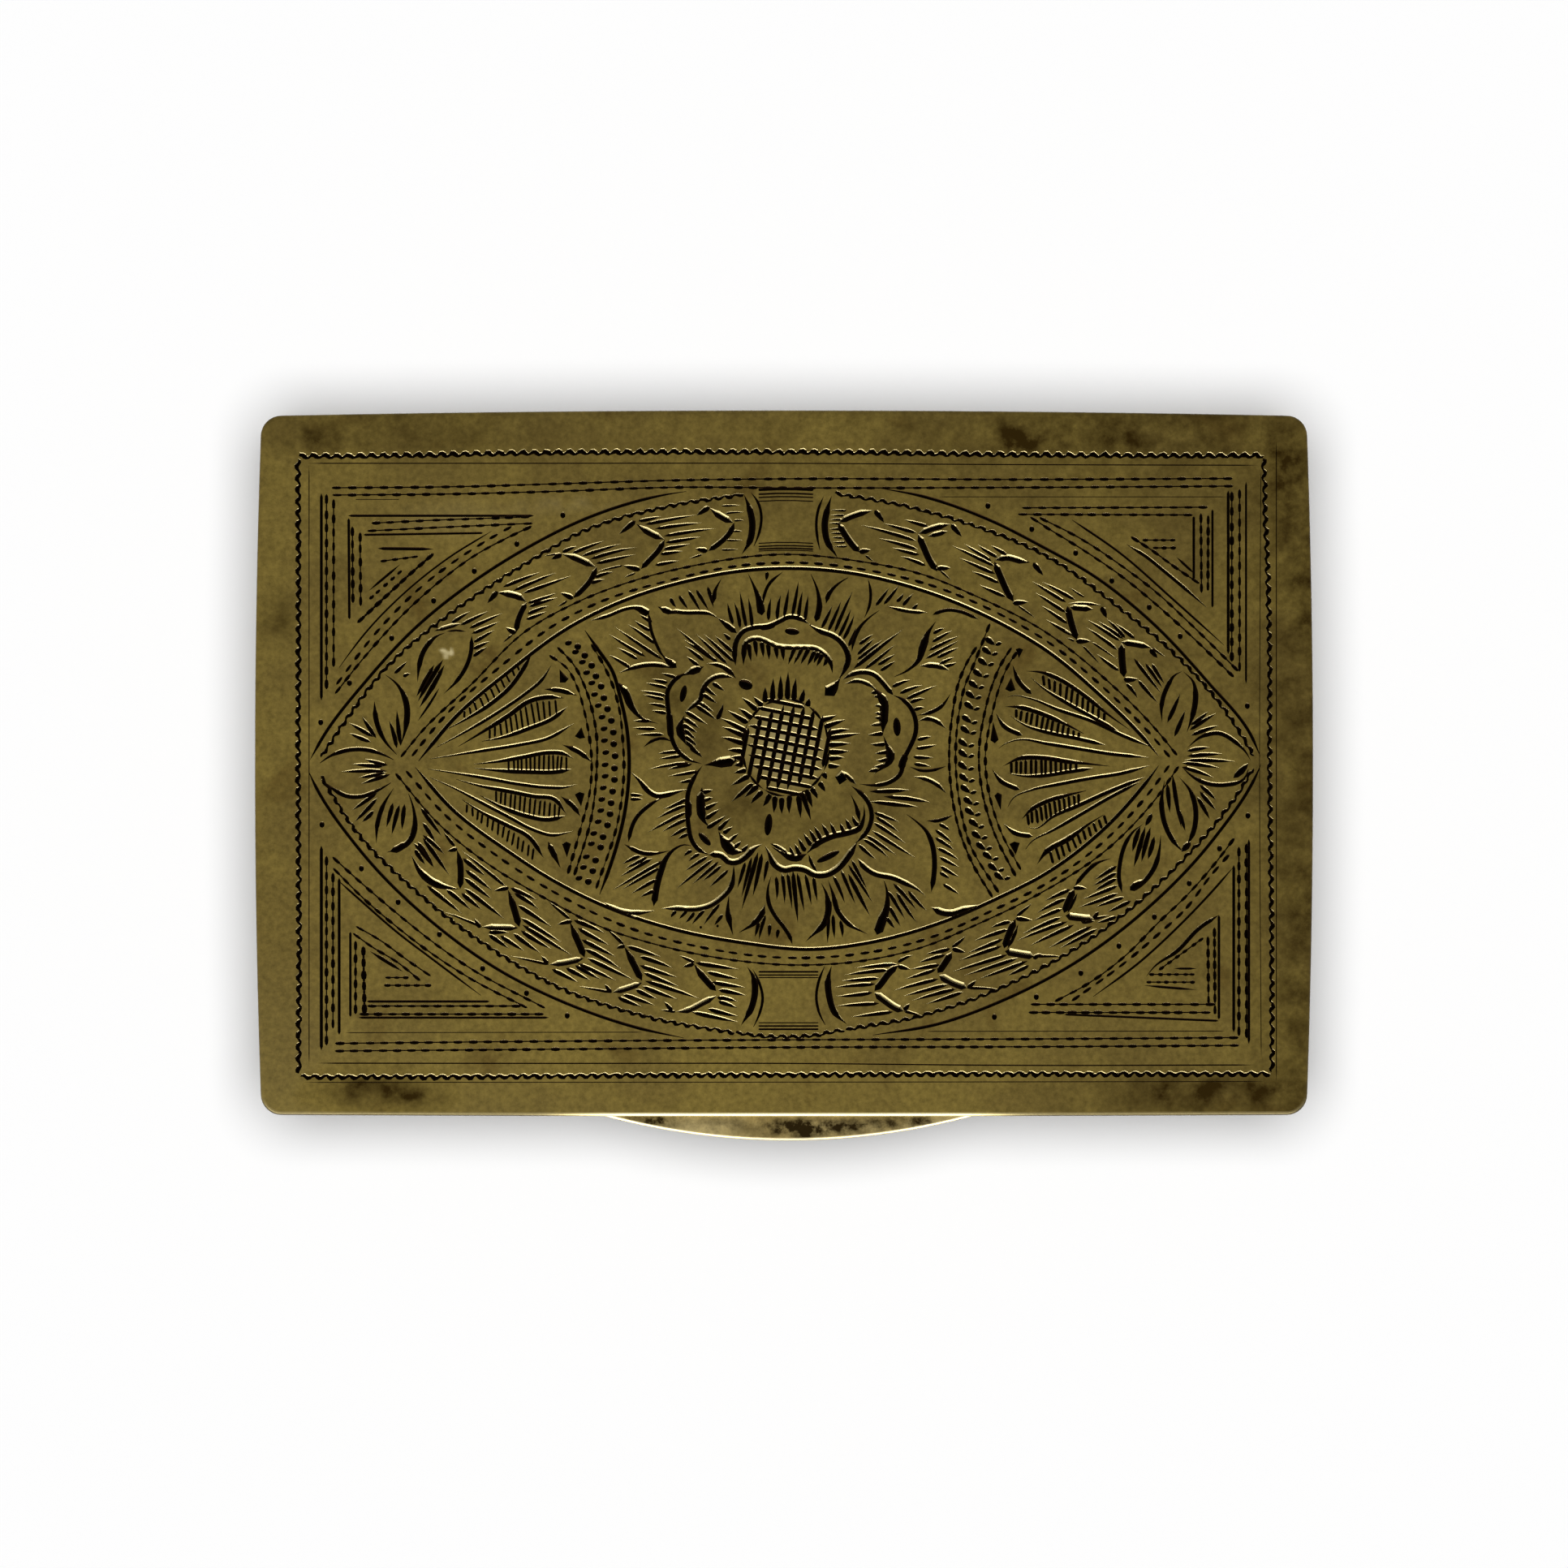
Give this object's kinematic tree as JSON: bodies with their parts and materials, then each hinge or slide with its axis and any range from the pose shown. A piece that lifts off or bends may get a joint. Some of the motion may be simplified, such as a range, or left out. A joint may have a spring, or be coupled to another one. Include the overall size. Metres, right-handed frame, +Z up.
{
  "type": "snuff box",
  "caption": "Shallow rectangular brass pocket box with a hinged, engraved lid, a thumb lip at the front and a tube hinge let into the back edge.",
  "frame": {"origin": "middle of the base plate's underside", "axes": "+X along the box's long side, +Z up out of the lid, the thumb lip faces -Y"},
  "size_m": [0.082, 0.0566, 0.0199],
  "materials": {
    "engraved_brass": "aged and dark, engraved, rubbed bright on its edges",
    "outside_brass": "aged and dark, rubbed on its edges",
    "inside_brass": "aged, never polished",
    "joint_brass": "drawn tube, aged"
  },
  "bodies": {
    "tray": {"base_plate": "outside_brass", "front_wall": "outside_brass", "back_wall": "outside_brass", "left_wall": "outside_brass", "right_wall": "outside_brass", "tray_hinge_bearer": "inside_brass", "tray_knuckle_1": "joint_brass", "tray_knuckle_2": "joint_brass", "tray_knuckle_3": "joint_brass", "tray_knuckle_4": "joint_brass", "hinge_pin": "joint_brass"},
    "lid": {"lid_plate": "engraved_brass", "thumb_lip": "outside_brass", "lid_hinge_bearer": "inside_brass", "lid_knuckle_1": "joint_brass", "lid_knuckle_2": "joint_brass", "lid_knuckle_3": "joint_brass", "lid_bezel_front": "inside_brass", "lid_bezel_left": "inside_brass", "lid_bezel_right": "inside_brass"}
  },
  "joints": [
    {"name": "lid_hinge", "type": "hinge", "parent": "tray", "child": "lid", "pos_m": [0, 0.025, 0.01669], "axis": [-1, 0, 0], "range_deg": [0, 100]}
  ]
}
